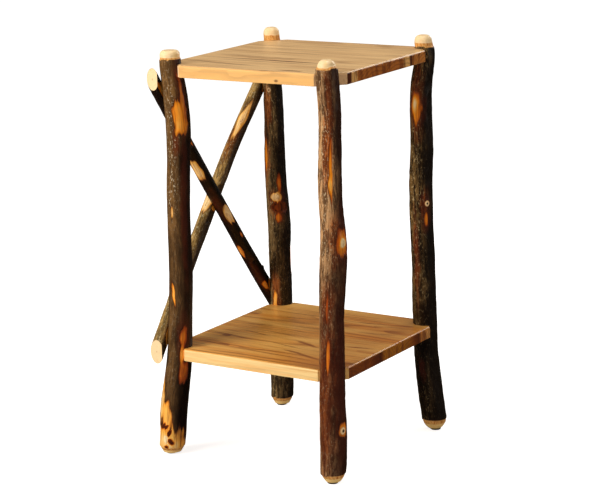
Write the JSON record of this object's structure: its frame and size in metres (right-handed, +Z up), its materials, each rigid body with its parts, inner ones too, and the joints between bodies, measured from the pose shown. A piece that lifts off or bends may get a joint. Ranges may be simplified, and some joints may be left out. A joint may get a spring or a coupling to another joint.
{
  "type": "rustic side table",
  "caption": "Tall narrow side table: square plank top and low shelf with clipped corners, set into natural bark-covered pole legs, with crossed sticks bracing one side.",
  "frame": {"origin": "on the floor, under the middle of the whole table's bounding box", "axes": "+Z up; +X to the right along the front edge, the way the grain runs; +Y to the back. The crossed sticks are on the -X side"},
  "size_m": [0.4216, 0.4164, 0.7515],
  "materials": {
    "hickory_top": "clear satin varnish on straight-grained heartwood",
    "hickory_shelf": "clear semi-gloss varnish on warm brown heartwood",
    "hickory_bark": "varnished bark, peeled in places to orange-brown inner bark",
    "dark_bark": "varnished near-black bark with a few peeled tan patches",
    "olive_bark": "varnished grey-olive bark with peeled tan patches",
    "zinc_screw": "zinc plated",
    "brown_plastic": "matt dark brown"
  },
  "bodies": {
    "root": {"top_stave_front": "hickory_top", "top_stave_front_middle": "hickory_top", "top_stave_back_middle": "hickory_top", "top_stave_back": "hickory_top", "shelf_stave_front": "hickory_shelf", "shelf_stave_front_middle": "hickory_shelf", "shelf_stave_back_middle": "hickory_shelf", "shelf_stave_back": "hickory_shelf", "leg_front_left": "hickory_bark", "leg_front_right": "hickory_bark", "leg_back_right": "hickory_bark", "leg_back_left": "hickory_bark", "brace_stick_inner": "dark_bark", "brace_stick_outer": "olive_bark", "top_screws": "zinc_screw", "shelf_screws": "zinc_screw", "brace_screws": "zinc_screw", "crossing_screw": "zinc_screw", "glide_nails": "zinc_screw", "foot_glides": "brown_plastic"}
  },
  "joints": []
}
